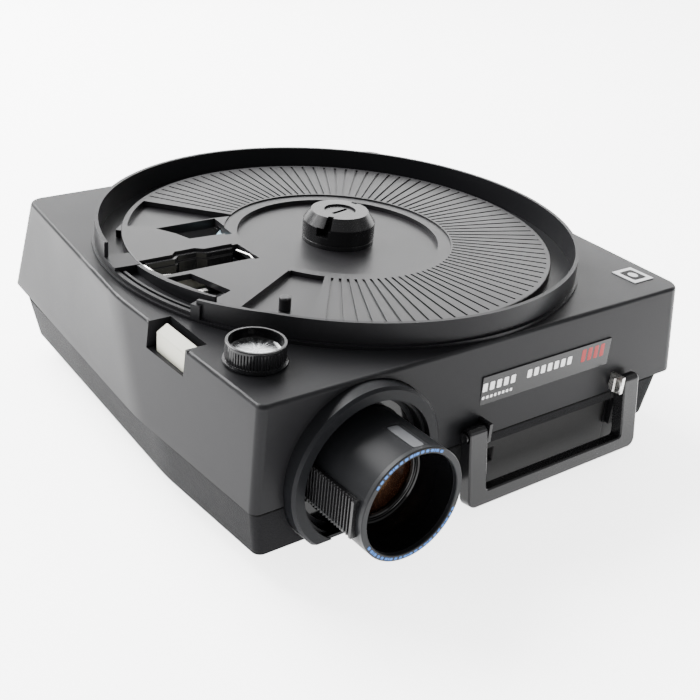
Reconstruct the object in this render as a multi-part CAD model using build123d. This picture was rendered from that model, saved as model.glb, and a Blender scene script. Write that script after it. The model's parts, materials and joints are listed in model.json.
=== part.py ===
from build123d import *
import math
import os

# A slide projector with a round tray well. Millimetres, +Z up, resting on the table at z = 0.
# Every piece is drawn about the tray axis; placed() then moves it so that the origin is the
# middle of the whole object's footprint.

# ---- overall sizes -------------------------------------------------------------------------
TRAY_AXIS_Y = 15.6          # tray axis, behind the middle of the footprint
BASE_Z = 12.5               # underside of the base pan above the table
SEAM_Z = 35.5               # joint between the top housing and the base pan
DECK_Z = 85.5               # top of the housing's flat deck
PLATE_Z = 90.0              # top of the ribbed slide deck
WALL = 2.5                  # moulded wall
SEAM_GAP = 0.8              # shadow groove between the two shells
FRONT_Y = -132.3            # front face at deck height
BACK_Y = 126.7              # back corners at deck height

# ---- tray well -----------------------------------------------------------------------------
RIM_R = 129.0
RIM_WALL = 2.0
RIM_TOP = 98.0
SKIRT_R = 130.6
WELL_FLOOR_Z = 84.5
WELL_HOLE_R = 113.0
PLATE_R = 115.5
PLATE_THICK = 3.0
RIB_IN_R = 62.5
RIB_OUT_R = 113.0
RIB_PITCH = 3.53
RIB_START = 227.2           # first groove, degrees anticlockwise from +X
RIB_END = 489.0
GROOVE_W = 1.3
GROOVE_DEEP = 0.9
RING_R = 61.6               # inner edge of the ribbed annulus
RECESS_R = 54.6             # recess round the hub
RECESS_Z = 86.7
RING_Z = 89.2
LOW_Z = 86.8                # floors of the two sunk sectors
HUB_R = 19.5
HUB_SHOULDER_Z = 97.8
HUB_TOP_R = 15.4
HUB_TOP_Z = 103.4
LATCH_R = 8.4
PEG_X, PEG_Y, PEG_R, PEG_TOP = -77.6, -62.8, 2.9, 93.6

# ---- slide gate ----------------------------------------------------------------------------
AXIS_X = -83.0              # optical axis
AXIS_Z = 43.4
GATE_X0, GATE_X1 = -117.0, -57.0
GATE_Y0 = -9.8
GATE_BACK = 11.4
GATE_STEP = 3.0
SHUTTER_Y = -14.2           # front of the shutter blade
SHUTTER_Z0 = 20.0
SHUTTER_Z1 = 70.0
SHUTTER_END = -12.0         # far end of the shutter's channels

# ---- lens and focus ------------------------------------------------------------------------
LENS_R = 27.2
LENS_FRONT_Y = -170.2
LENS_LEN = 88.0
MOUTH_R = 24.2
BORE_R = 21.0
RUN_FIT = 0.1               # radial running clearance
CARRIER_WALL = 2.0
BEZEL_R = 40.3
BEZEL_IN_R = 34.3
BEZEL_FRONT_Y = -140.7
BEZEL_GAP = 0.4
BEZEL_FLAT_Z = 13.9          # flat underside of the bezel
RACK_PITCH = 2.0
PINION_TEETH = 15
KNOB_Y = -97.5
KNOB_R = 13.3
KNOB_TOP = 95.6
DISH_DEEP = 5.2             # depth of the knob's dish
RACK_FACE = 28.4            # rack pitch line, from the optical axis
RACK_HALF = 9.0

# ---- handle --------------------------------------------------------------------------------
HANDLE_X0, HANDLE_X1 = -24.6, 95.8
HANDLE_PIVOT_Y = -138.8
HANDLE_PIVOT_Z = 41.5
HANDLE_DROP = 36.6
HANDLE_TILT = 9.0
LEG_W = 11.4
LEG_T = 7.0
BAR_H = 7.4
PIVOT_R = 2.2

PLATE_SPAN = (-13.0, 77.0, 52.6, 68.0)     # nameplate: left, right, bottom, top

# ---- feet ----------------------------------------------------------------------------------
FOOT_R = 9.0

GAP = 0.4                   # clearance between a moving piece and what it passes


def placed(shape):
    """Moves a piece from the tray axis to the footprint's middle."""
    return Pos(0, TRAY_AXIS_Y, 0) * shape


def save(name, shape):
    """Writes one node, as one solid or as a group of separate solids."""
    solids = shape.solids() if hasattr(shape, "solids") else ShapeList([shape])
    body = solids[0] if len(solids) == 1 else Compound(children=list(solids))
    export_step(placed(body), f"parts/{name}.step")


def block(x0, x1, y0, y1, z0, z1):
    """A box between two corners."""
    middle = Pos((x0 + x1) / 2, (y0 + y1) / 2, (z0 + z1) / 2)
    return middle * Box(x1 - x0, y1 - y0, z1 - z0)


def post(x, y, z0, z1, radius):
    """An upright round bar."""
    return Pos(x, y, (z0 + z1) / 2) * Cylinder(radius, z1 - z0)


def bar_y(x, z, y0, y1, radius):
    """A round bar along Y."""
    return Pos(x, (y0 + y1) / 2, z) * Rot(90, 0, 0) * Cylinder(radius, y1 - y0)


def bar_x(y, z, x0, x1, radius):
    """A round bar along X."""
    return Pos((x0 + x1) / 2, y, z) * Rot(0, 90, 0) * Cylinder(radius, x1 - x0)


def ring(r0, r1, z0, z1, x=0, y=0):
    """An upright tube."""
    return post(x, y, z0, z1, r1) - post(x, y, z0 - 1, z1 + 1, r0)


def prism(points, z0, z1):
    """A polygon carried up from z0 to z1."""
    face = make_face(Polyline(*[(x, y) for x, y in points], close=True))
    return extrude(Pos(0, 0, z0) * face, z1 - z0)


def wedge(r0, r1, a0, a1, z0, z1):
    """A sector of a tube between two angles, in degrees from +X."""
    steps = max(2, int(abs(a1 - a0) / 20) + 1)
    reach = r1 * 1.5
    points = [(0, 0)]
    for i in range(steps + 1):
        angle = math.radians(a0 + (a1 - a0) * i / steps)
        points.append((reach * math.cos(angle), reach * math.sin(angle)))
    return ring(r0, r1, z0, z1) & prism(points, z0 - 0.5, z1 + 0.5)


def inset(points, distance):
    """Moves each side of a closed anticlockwise outline inwards by the same distance."""
    moved = []
    count = len(points)
    for i in range(count):
        (ax, ay), (bx, by), (cx, cy) = points[i - 1], points[i], points[(i + 1) % count]
        d1 = math.hypot(bx - ax, by - ay)
        d2 = math.hypot(cx - bx, cy - by)
        n1 = (-(by - ay) / d1, (bx - ax) / d1)
        n2 = (-(cy - by) / d2, (cx - bx) / d2)
        share = distance / (1 + n1[0] * n2[0] + n1[1] * n2[1])
        moved.append((bx + (n1[0] + n2[0]) * share, by + (n1[1] + n2[1]) * share))
    return moved


def outline(points, radii, z):
    """A closed outline with rounded corners, as a face at one height."""
    path = FilletPolyline(*[(x, y) for x, y in points], radius=radii, close=True)
    return Pos(0, 0, z) * make_face(path)


# Plan outlines, anticlockwise from the front left corner.
DECK_OUT = [(-136, FRONT_Y), (130, FRONT_Y), (138, -10), (124, BACK_Y), (0, BACK_Y + 6.5),
            (-122.8, BACK_Y), (-138, -10)]
SEAM_OUT = [(-138.5, FRONT_Y - 2.2), (137, FRONT_Y - 2.0), (142.5, -20), (131.5, BACK_Y + 7),
            (0, BACK_Y + 12.5), (-131, BACK_Y + 7), (-142.5, -40)]
BASE_TOP = [(-137.6, FRONT_Y - 1.6), (127, FRONT_Y - 1.6), (133, -20), (124, 112),
            (0, 117), (-132.5, 114), (-141, -60)]
BASE_LOW = [(-134.2, FRONT_Y - 0.6), (122, FRONT_Y - 0.6), (128, -20), (118, 110),
            (0, 115), (-127.5, 112), (-137.6, -60)]
OUT_RADII = [4, 9, 150, 12, 260, 10, 150]
IN_RADII = [2.5, 7, 150, 10, 260, 8, 150]


def shell_loft(low, low_z, high, high_z, radii):
    """A solid between two outlines, with straight sides."""
    return loft([outline(low, radii, low_z), outline(high, radii, high_z)], ruled=True)


def top_housing():
    """Upper shell: sloping walls, flat deck, raised tray rim and the well's floor."""
    body = shell_loft(SEAM_OUT, SEAM_Z, DECK_OUT, DECK_Z, OUT_RADII)
    body = fillet(body.edges().group_by(Axis.Z)[-1], 1.9)
    inner = shell_loft(inset(SEAM_OUT, WALL), SEAM_Z - 0.01, inset(DECK_OUT, WALL),
                       DECK_Z - WALL, IN_RADII)
    body = body - inner
    body = body + ring(RIM_R - RIM_WALL, RIM_R, DECK_Z - WALL, RIM_TOP)
    body = body + ring(RIM_R - RIM_WALL, SKIRT_R, DECK_Z - WALL, DECK_Z + 1.6)
    body = body - post(0, 0, WELL_FLOOR_Z, RIM_TOP + 1, RIM_R - RIM_WALL)
    body = body + ring(WELL_HOLE_R, RIM_R - 0.5, WELL_FLOOR_Z - WALL, WELL_FLOOR_Z)
    body = body - post(0, 0, WELL_FLOOR_Z - 20, RIM_TOP, WELL_HOLE_R)
    # Left side: the rim stops at a flat tab, and a low wall hugs the slide deck instead.
    body = body - wedge(RIM_R - RIM_WALL - 0.5, SKIRT_R + 1, 170, 203.5, TAB_Z - 1.6, RIM_TOP + 1)
    body = body + wedge(PLATE_R + GAP, RIM_R, 169.0, 176.5, WELL_FLOOR_Z - 0.5, TAB_Z)
    low_wall = wedge(LOW_WALL_R, LOW_WALL_R + 1.7, 176.0, 204.5, WELL_FLOOR_Z - 0.5, PLATE_Z + 5)
    body = body + (low_wall & slope_under(TAB_Z, 4.0, 0.064))
    body = body + wedge(LOW_WALL_R + 1, RIM_R, 176.0, 204, WELL_FLOOR_Z - 0.5, TAB_Z - 4.2)
    body = body + wedge(LEDGE_R - 1.4, LEDGE_R, 177.5, 204, WELL_FLOOR_Z - 0.5, TAB_Z - 1.4)
    body = body + wedge(LEDGE_R - 1.4, SKIRT_R, 202.6, 204.8, WELL_FLOOR_Z - 0.5, TAB_Z + 3.4)
    ramp = wedge(RIM_R - RIM_WALL - 0.3, SKIRT_R + 1, 203.5, 222, PLATE_Z, RIM_TOP + 1)
    body = body - (ramp - slope_under(TAB_Z + 5.2, -50.0, 0.079))
    # Openings: lens, focus knob shaft, select bar notch, rear vents and sockets.
    body = body - bar_y(AXIS_X, AXIS_Z, -150, -100, BEZEL_R + BEZEL_GAP)
    body = body - post(knob_x(), KNOB_Y, DECK_Z - 5, DECK_Z + 1, 4.6)
    body = body - block(-150, -126.2, -74.5, -42.5, NOTCH_Z, DECK_Z + 1)
    body = body + notch_frame()
    x0, x1, y0, y1 = BAR_SPAN
    body = body - block(x0 - GAP, x1 + GAP, y0 - GAP, y1 + GAP, NOTCH_Z - 17, NOTCH_Z + 0.1)
    px0, px1, pz0, pz1 = PLATE_SPAN
    body = body - block(px0, px1, FRONT_Y - 4, FRONT_Y + 0.2, pz0, pz1)
    for x0, x1, z0, z1 in REAR_HOLES:
        body = body - block(x0, x1, 115, 145, z0, z1)
    for i in range(VENT_COUNT):
        x = -118 + i * VENT_PITCH
        body = body - block(x, x + 3, 120, 145, 48, 76)
    return body


def slope_under(z, y, rise):
    """Everything under a plane that passes through height z at y and climbs towards -Y."""
    points = [(y - 120, z + 120 * rise), (y + 120, z - 120 * rise), (y + 120, 0), (y - 120, 0)]
    return Pos(200, 0, 0) * extrude(Plane.YZ * make_face(Polyline(*points, close=True)), -400)


TAB_Z = PLATE_Z + 0.3       # flat tab across the groove
LOW_WALL_R = PLATE_R + GAP
LEDGE_R = 125.6


def notch_frame():
    """The pocket that the select bar stands in: floor, back wall and two end walls."""
    pocket = block(-137.5, -124.6, -76.0, -41.0, NOTCH_Z - 1.6, DECK_Z)
    pocket = pocket - block(-150, -126.2, -74.5, -42.5, NOTCH_Z, DECK_Z + 1)
    x0, x1, y0, y1 = BAR_SPAN
    pocket = pocket - block(x0 - GAP, x1 + GAP, y0 - GAP, y1 + GAP, NOTCH_Z - 5, DECK_Z)
    return pocket & shell_loft(SEAM_OUT, SEAM_Z, DECK_OUT, DECK_Z, OUT_RADII)


NOTCH_Z = DECK_Z - 13.0
BAR_SPAN = (-135.6, -129.8, -73.4, -46.5)     # select bar in plan
REAR_HOLES = [(96, 119.4, 45, 63), (62, 74.4, 48, 60.4), (30, 52, 46, 63)]
VENT_COUNT = 9
VENT_PITCH = 6.5
HATCH = (-102.0, -64.0, 66.0, 104.0)      # lamp hatch in the base pan
FEET = [(-104, 50), (-92, -52)]
LEVEL_FOOT = (92, 84)
FOOT_SPAN = (-4.4, 90.0)     # wide front foot, left and right ends
FOOT_PLATE_Y = FRONT_Y + 2.5
FOOT_TOP_Z = 29.4            # head of the foot's opening
HATCH_PIN_Z = BASE_Z + 1.4


def base_pan():
    """Lower shell: tapering tray with a lens cut-out, a recessed front panel and foot bosses."""
    body = shell_loft(BASE_LOW, BASE_Z, BASE_TOP, SEAM_Z - SEAM_GAP, OUT_RADII)
    # Spigot that enters the top housing, on a thicker top edge.
    spigot = inset(BASE_TOP, WALL + GAP)
    body = body + shell_loft(spigot, SEAM_Z - 6, spigot, SEAM_Z + 3, IN_RADII)
    ledge_z = SEAM_Z - 7
    share = (ledge_z - BASE_Z) / (SEAM_Z - SEAM_GAP - BASE_Z)
    at_ledge = [(a + (c - a) * share, b + (d - b) * share) for (a, b), (c, d) in zip(BASE_LOW, BASE_TOP)]
    body = body - shell_loft(inset(BASE_LOW, WALL), BASE_Z + WALL, inset(at_ledge, WALL), ledge_z, IN_RADII)
    mouth = inset(BASE_TOP, WALL + GAP + 1.7)
    body = body - shell_loft(mouth, ledge_z - 1, mouth, SEAM_Z + 4, IN_RADII)
    body = body - bar_y(AXIS_X, AXIS_Z, -150, -112, BEZEL_R + BEZEL_GAP)
    body = body - bar_y(AXIS_X, AXIS_Z, -125, -60, LENS_R + RUN_FIT + CARRIER_WALL)
    # Opening that the wide front foot moves in.
    fx0, fx1 = FOOT_SPAN
    body = body - block(fx0 - GAP, fx1 + GAP, FRONT_Y - 6, FOOT_PLATE_Y + 15, BASE_Z - 1, FOOT_TOP_Z)
    body = body - block(fx0 - GAP, fx1 + GAP, FOOT_PLATE_Y - GAP, FOOT_PLATE_Y + 3 + GAP,
                        BASE_Z - 1, SEAM_Z + 4)
    body = body + foot_guides()
    x0, x1, y0, y1 = HATCH
    body = body - block(x0, x1, y0, y1, BASE_Z - 1, BASE_Z + WALL + 1)
    for x, y in FEET:
        body = body - post(x, y, BASE_Z - 1, BASE_Z + WALL + 1, 3.0)
    for x, y in (LEVEL_FOOT,):
        body = body + post(x, y, BASE_Z, BASE_Z + 12, 8.5)
        body = body - post(x, y, BASE_Z - 1, BASE_Z + 16, 5.0 + RUN_FIT)
    for i in range(7):
        body = body - block(30, 75, 20 + i * 6, 23 + i * 6, BASE_Z - 1, BASE_Z + WALL + 1)
    for x, y in CASE_SCREWS:
        body = body - post(x, y, BASE_Z - 1, BASE_Z + WALL + 1, 1.7)
    return body


CASE_SCREWS = [(-122, 40), (110, 98), (112, -116), (-20, -116)]


def slide_deck():
    """Round deck under the tray: ribbed annulus, hub recess, gate sector and its openings."""
    body = post(0, 0, PLATE_Z - PLATE_THICK, PLATE_Z, PLATE_R)
    body = fillet(body.edges().group_by(Axis.Z)[-1], 0.6)
    body = body + ring(PLATE_R - 1.9, PLATE_R, WELL_FLOOR_Z, PLATE_Z - 1)
    body = body + post(0, 0, RECESS_Z - 2.2, PLATE_Z - 1, RING_R + 2)
    body = body - post(0, 0, RING_Z, PLATE_Z + 1, RING_R)
    body = body - post(0, 0, RECESS_Z, PLATE_Z + 1, RECESS_R)
    # Ribs: narrow radial grooves over the ribbed sector.
    length = RIB_OUT_R - RIB_IN_R
    groove = Box(length, GROOVE_W, 2 * GROOVE_DEEP)
    count = int((RIB_END - RIB_START) / RIB_PITCH)
    cuts = []
    for i in range(1, count):
        turn = Rot(0, 0, RIB_START + i * RIB_PITCH)
        cuts.append(turn * Pos((RIB_IN_R + RIB_OUT_R) / 2, 0, PLATE_Z) * groove)
    body = body - cuts
    # Sunk sectors either side of the gate.
    body = body + wedge(PLATE_R - 14, PLATE_R - 1, 128, 160, LOW_Z - 2.0, PLATE_Z - 1)
    body = body + wedge(RING_R - 3, PLATE_R - 1, 208, 229, LOW_Z - 2.0, PLATE_Z - 1)
    body = body + prism(LOW_PATCH_UNDER, LOW_Z - 2.0, PLATE_Z - 1)
    body = body - (wedge(RING_R, PLATE_R - 3, 120, 150, LOW_Z, PLATE_Z + 1) & prism(LOW_PATCH, 80, 95))
    body = body - wedge(RING_R - 2, PLATE_R - 3, 210, 227.2, LOW_Z, PLATE_Z + 1)
    body = body - prism(CHUTE, LOW_Z - 10, PLATE_Z + 1)
    body = body - prism(gate_slot(), PLATE_Z - 10, PLATE_Z + 1)
    body = body - prism(INDEX_HOLE, PLATE_Z - 10, PLATE_Z + 1)
    body = body - post(0, 0, PLATE_Z - 10, PLATE_Z, 11.0)
    return body


LOW_PATCH = [(-36, 46), (-74, 90), (-101, 56), (-86, 47.4), (-50, 47.4)]
LOW_PATCH_UNDER = [(-36, 50), (-70, 90), (-104, 56), (-90, 43), (-46, 43)]
CHUTE = [(-85.5, 46.6), (-49.6, 46.8), (-51.8, 24.8), (-76.8, 26.5), (-79.6, 36.0)]
INDEX_HOLE = [(-112.2, -12.6), (-99, -13.2), (-92.1, -38.8), (-101.8, -43)]


def gate_slot():
    """Outline of the slide slot, with the step that clears the pressure pad."""
    y = GATE_BACK
    return [(GATE_X0 + 5.5, GATE_Y0), (GATE_X1, GATE_Y0), (GATE_X1, y), (-77, y),
            (-81, y + GATE_STEP), (-92.5, y + GATE_STEP), (-95.5, y), (-114.2, y),
            (-114.6, 2)]


def pressure_pad():
    """Stepped black pad that presses the slide flat in the gate."""
    back = GATE_BACK - 0.6
    thick = 2.2
    step = GATE_STEP
    outer = [(-111.2, back), (-95.1, back), (-92.2, back + step), (-81.3, back + step),
             (-77.3, back), (GATE_X1 - 4.8, back)]
    front = [(x, y - thick) for x, y in reversed(outer)]
    pad = prism(outer + front, 64, PLATE_Z - 1.4)
    front_low = [(x, y - thick - 1.2) for x, y in reversed(outer)]
    pad = pad + prism(outer + front_low, 66, PLATE_Z - 4.2)
    return pad


def gate_frame():
    """Two window plates and end walls that the slide drops between."""
    half = 20.5
    body = block(GATE_X0, GATE_X1 + 1, -12.2, -9.8, 17, 80)
    body = body + block(GATE_X0, GATE_X1 + 1, 15.2, 17.6, 17, 80)
    body = body + block(GATE_X0, GATE_X0 + 2, -12, 17, 17, 80)
    body = body + block(GATE_X1 - 1, GATE_X1 + 1, -12, 17, 17, 80)
    window = block(AXIS_X - half, AXIS_X + half, -20, 25, AXIS_Z - half, AXIS_Z + half)
    body = body - window
    body = body - block(GATE_X1 - 5, GATE_X1 + 5, -2.4, 2.4, 16, 76)
    # Two channels on the front face that the shutter blade runs along.
    y = SHUTTER_Y
    for z, lip in ((FLOOR, SHUTTER_Z0), (SHUTTER_Z1 + GAP, SHUTTER_Z1 - 1.0)):
        body = body + block(GATE_X0, SHUTTER_END, y - 1.6, -12.0, z, z + 2.6)
        body = body + block(GATE_X0, SHUTTER_END, y - 1.6, y - GAP, lip - 0.8, lip + 1.8)
    return body


def register_plate():
    """Pale strip that the slide is pressed against."""
    half = 20.5
    body = block(-108.6, -78.5, GATE_Y0, -8.2, 62, PLATE_Z - 1.6)
    body = body + block(-106.0, -62, GATE_Y0, -8.2, 20, 70)
    window = block(AXIS_X - half, AXIS_X + half, -20, 0, AXIS_Z - half, AXIS_Z + half)
    return body - window


def wire(points, radius, bend=1.4):
    """A round wire along straight runs joined by small arcs."""
    path = FilletPolyline(*points, radius=bend)
    start = path @ 0
    tangent = path % 0
    return sweep(Plane(start, z_dir=tangent) * Circle(radius), path=path)


def gate_spring_outer():
    """Bright L-shaped wire at the outer end of the slot."""
    z = PLATE_Z - 2.0
    return wire([(-112.4, 8.6, z), (-111.6, -5.4, z), (-104.5, -7.6, z)], 0.6)


def gate_spring_inner():
    """Bright V-shaped wire at the inner end of the slot."""
    z = PLATE_Z - 2.0
    return wire([(-60.4, 6.6, z), (-58.0, -2.0, z), (-59.5, -8.6, z)], 0.6)


def chute_glass():
    """Pale glass pane under the opening beside the gate."""
    return prism([(-68, 22.5), (-48.0, 22.5), (-48.0, 43.5)], RECESS_Z - 3.6, RECESS_Z - 2.2)


def hub():
    """Tray spindle: drum with a conical shoulder, a latch recess and a hooked slot."""
    profile = Polyline((0, RECESS_Z), (HUB_R, RECESS_Z), (HUB_R, HUB_SHOULDER_Z),
                       (HUB_TOP_R, HUB_TOP_Z), (0, HUB_TOP_Z), close=True)
    body = revolve(Plane.XZ * make_face(profile), Axis.Z)
    body = body - ring(HUB_R - 0.4, HUB_R + 1, RECESS_Z + 2.2, RECESS_Z + 2.9)
    body = body - post(0, 0, HUB_TOP_Z - 3, HUB_TOP_Z + 1, LATCH_R + RUN_FIT)
    body = body - post(0, 0, RECESS_Z - 1, HUB_TOP_Z, 4.0 + RUN_FIT)
    body = body - post(0, 0, RECESS_Z - 1, HUB_TOP_Z - 5, 12)
    slot = wedge(12.5, HUB_R + 3, 196, 216, HUB_SHOULDER_Z - 4.6, HUB_SHOULDER_Z + 0.2)
    slot = slot + wedge(HUB_TOP_R - 2.2, HUB_R + 3, 208, 220, HUB_SHOULDER_Z - 1, HUB_TOP_Z + 1)
    body = body - slot
    body = body - (Rot(0, 0, 20) * Pos(HUB_TOP_R, 0, HUB_TOP_Z) * Box(4, 3.2, 2.4))
    return body


def spindle_latch():
    """Disc in the hub's top with a coin slot, on a short stem."""
    body = post(0, 0, HUB_TOP_Z - 2.8, HUB_TOP_Z - 1.0, LATCH_R)
    body = body + post(0, 0, RECESS_Z + 1, HUB_TOP_Z - 2, 4.0)
    body = body - (Pos(0, 0, HUB_TOP_Z - 1) * Rot(0, 0, 12) * Box(11, 1.7, 2.2))
    body = body + post(0, 0, RECESS_Z - 1.5, RECESS_Z + 1, 8)
    return body


def index_peg():
    """Short chamfered peg in the sunk sector."""
    body = post(PEG_X, PEG_Y, LOW_Z, PEG_TOP, PEG_R)
    body = chamfer(body.edges().group_by(Axis.Z)[-1], 0.7)
    return body


def lens_bezel():
    """Round collar on the front, flattened where it meets the base's underside."""
    x, z = AXIS_X, AXIS_Z
    front, back = -BEZEL_FRONT_Y, 125.8
    throat = LENS_R + 3.6
    profile = Polyline((throat, back), (BEZEL_R, back), (BEZEL_R, front - 1.3), (BEZEL_R - 1.3, front),
                       (BEZEL_IN_R, front), (BEZEL_IN_R, front - 3.5), (BEZEL_IN_R - 1.3, front - 3.5),
                       (BEZEL_IN_R - 1.3, front - 9.2), (throat, front - 9.2), close=True)
    body = Pos(x, 0, z) * Rot(90, 0, 0) * revolve(Plane.XZ * make_face(profile), Axis.Z)
    # Flat underside, closed by a sill under the lens.
    body = body + block(x - 27, x + 27, BEZEL_FRONT_Y + 0.9, -125.8, BEZEL_FLAT_Z, AXIS_Z - LENS_R - 0.6)
    body = body - block(x - 50, x + 50, -150, -120, -5, BEZEL_FLAT_Z)
    return body


def lens_carrier():
    """Fixed tube that guides the lens, slit on the left for the rack and pinion."""
    x, z = AXIS_X, AXIS_Z
    inner = LENS_R + RUN_FIT
    body = bar_y(x, z, -125, -64, inner + CARRIER_WALL)
    body = body - bar_y(x, z, -150, -50, inner)
    body = body - block(x - 40, x - 20, -126, -60, z - RACK_HALF - 1.2, z + RACK_HALF + 1.2)
    flange = bar_y(x, z, -125.8, -123.6, BEZEL_R - 1) - bar_y(x, z, -130, -110, LENS_R + 3.6)
    flange = flange - block(x - 50, x + 50, -130, -110, -5, BASE_Z + WALL + 0.1)
    body = body + flange + carrier_ties()
    return body


def carrier_ties():
    """Four short ties between the carrier's tube and its flange."""
    x, z = AXIS_X, AXIS_Z
    inner = LENS_R + RUN_FIT
    ties = []
    for angle in (45, 135, 225, 315):
        tie = Pos(x, -122.2, z) * Rot(0, angle, 0) * Pos(0, 0, inner + 3.6) * Box(5, 5.6, 6.2)
        ties.append(tie - bar_y(x, z, -130, -100, inner + 0.5))
    return ties


def lens_barrel():
    """Lens tube with a tapering black mouth."""
    x, z = AXIS_X, AXIS_Z
    y0, y1 = LENS_FRONT_Y + 2.4, LENS_FRONT_Y + LENS_LEN
    body = bar_y(x, z, y0, y1, LENS_R)
    taper = Polyline((0, -y0), (MOUTH_R, -y0), (BORE_R, -y0 - 19), (BORE_R, -y1 - 1), (0, -y1 - 1),
                     close=True)
    bore = Pos(x, 0, z) * Rot(90, 0, 0) * revolve(Plane.XZ * make_face(taper), Axis.Z)
    body = body - bore
    flat = Pos(x, 0, z) * Rot(0, 4, 0) * Pos(0, 0, LENS_R) * block(-4.3, 4.3, y0 + 0.1, y0 + 19, -0.5, 2)
    body = body - flat
    return body


def lens_front_ring():
    """Ring round the lens mouth that carries the printed band."""
    x, z = AXIS_X, AXIS_Z
    body = bar_y(x, z, LENS_FRONT_Y, LENS_FRONT_Y + 2.4, LENS_R)
    body = fillet(body.edges().group_by(Axis.Y)[0], 0.5)
    return body - bar_y(x, z, LENS_FRONT_Y - 1, LENS_FRONT_Y + 4, MOUTH_R)


def glass_disc(y, radius, thick, bulge):
    """A lens element: a disc whose two faces are domed by the same bulge, its axis along Y."""
    body = Cylinder(radius, thick + 2 * bulge)
    if bulge > 0:
        ball = (radius * radius + bulge * bulge) / (2 * bulge)
        shift = ball - thick / 2 - bulge
        body = body & Pos(0, 0, shift) * Sphere(ball) & Pos(0, 0, -shift) * Sphere(ball)
    return Pos(AXIS_X, y, AXIS_Z) * Rot(90, 0, 0) * body


def knob_x():
    """Focus shaft, one pitch radius outside the rack's pitch line."""
    return AXIS_X - RACK_FACE - pinion_radius()


def pinion_radius():
    return RACK_PITCH * PINION_TEETH / (2 * math.pi)


def lens_rack():
    """Toothed strip along the left side of the lens tube."""
    x_root = AXIS_X - RACK_FACE + 0.75
    y0, y1 = LENS_FRONT_Y + 4.2, LENS_FRONT_Y + LENS_LEN - 1.5
    z0, z1 = AXIS_Z - RACK_HALF, AXIS_Z + RACK_HALF
    back = block(x_root, AXIS_X - 20, y0, y1, z0, z1)
    body = back - bar_y(AXIS_X, AXIS_Z, y0 - 5, y1 + 5, LENS_R)
    # A tooth gap faces the pinion's axis, half a pitch from the nearest tooth.
    count = int((y1 - y0) / RACK_PITCH)
    first = KNOB_Y + RACK_PITCH / 2 - RACK_PITCH * math.floor((KNOB_Y - y0) / RACK_PITCH)
    teeth = []
    for i in range(count):
        y = first + i * RACK_PITCH
        if y < y0 + 0.6 or y > y1 - 0.6:
            continue
        face = make_face(Polyline((x_root + 0.2, y - 0.55), (x_root + 0.2, y + 0.55),
                                  (x_root - 1.1, y + 0.3), (x_root - 1.1, y - 0.3), close=True))
        teeth.append(extrude(Pos(0, 0, z0) * face, z1 - z0))
    body = body + teeth
    body = body + block(x_root - 1.4, x_root + 0.2, y0, y0 + 1.6, z0, z1)
    return body


def focus_pinion():
    """Small gear under the focus knob, in mesh with the rack."""
    radius = pinion_radius()
    x = knob_x()
    body = post(0, 0, AXIS_Z - 7, AXIS_Z + 7, radius - 0.95)
    teeth = []
    for i in range(PINION_TEETH):
        face = make_face(Polyline((radius - 1.3, -0.5), (radius + 0.4, -0.24),
                                  (radius + 0.4, 0.24), (radius - 1.3, 0.5), close=True))
        teeth.append(Rot(0, 0, 360 * i / PINION_TEETH) * Pos(0, 0, AXIS_Z - 7) * extrude(face, 14))
    body = body + teeth
    body = body - post(0, 0, 0, 100, 2.5)
    return Pos(x, KNOB_Y, 0) * body


def focus_shaft():
    return post(knob_x(), KNOB_Y, AXIS_Z - 10, DECK_Z + 3.0, 2.5)


def focus_bearing():
    """Bush in the deck that the focus shaft turns in."""
    x = knob_x()
    body = post(x, KNOB_Y, DECK_Z - 8, DECK_Z, 4.6) + post(x, KNOB_Y, DECK_Z - 8, DECK_Z - WALL, 7)
    return body - post(x, KNOB_Y, 0, 120, 2.5 + 0.06)


def focus_knob():
    """Ribbed cup: wide foot ring, fine vertical ribs and a deep dished top."""
    x = knob_x()
    z0 = DECK_Z + 0.4
    body = post(0, 0, z0, KNOB_TOP, KNOB_R)
    body = fillet(body.edges().group_by(Axis.Z)[-1], 0.5)
    body = body + post(0, 0, z0, z0 + 1.0, KNOB_R + 0.9)
    cuts = []
    for i in range(60):
        cuts.append(Rot(0, 0, i * 6) * Pos(KNOB_R + 0.1, 0, z0 + 5.0) * Rot(0, 0, 45) * Box(0.7, 0.7, 6.6))
    body = body - cuts
    body = body - post(0, 0, KNOB_TOP - DISH_DEEP, KNOB_TOP + 1, KNOB_R - 1.3)
    body = body - post(0, 0, z0 - 1, DECK_Z + 3.0, 2.5)
    return Pos(x, KNOB_Y, 0) * body


def knob_insert():
    """Bright disc at the bottom of the knob's dish."""
    return post(knob_x(), KNOB_Y, KNOB_TOP - DISH_DEEP, KNOB_TOP - DISH_DEEP + 0.8, KNOB_R - 2.6)


def select_bar():
    """Pale push bar with a sloping top, in the notch on the left edge."""
    x0, x1, y0, y1 = BAR_SPAN
    low = NOTCH_Z - 12.5
    face = make_face(Polyline((x0, low), (x1, low), (x1, DECK_Z - 0.3), (x0, DECK_Z - 3.9), close=True))
    body = Pos(0, y1, 0) * extrude(Plane.XZ * face, y1 - y0)
    return fillet(body.edges().filter_by(Axis.Y).group_by(Axis.Z)[-1], 0.7)


def select_guide():
    """Bracket under the notch that carries the lower end of the select bar."""
    x0, x1, y0, y1 = BAR_SPAN
    low = NOTCH_Z - 10.5
    body = block(x0 - 1.0, x1 + 3.0, y0 - 2, y1 + 2, low, low + 3)
    body = body - block(x0 - GAP, x1 + GAP, y0 - GAP, y1 + GAP, low - 1, low + 4)
    body = body + block(x1 + 1.4, x1 + 3.0, y0 + 5, y1 - 5, low, NOTCH_Z - 1.6)
    room = shell_loft(inset(SEAM_OUT, WALL), SEAM_Z - 0.01, inset(DECK_OUT, WALL), DECK_Z - WALL, IN_RADII)
    return body & room


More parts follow.
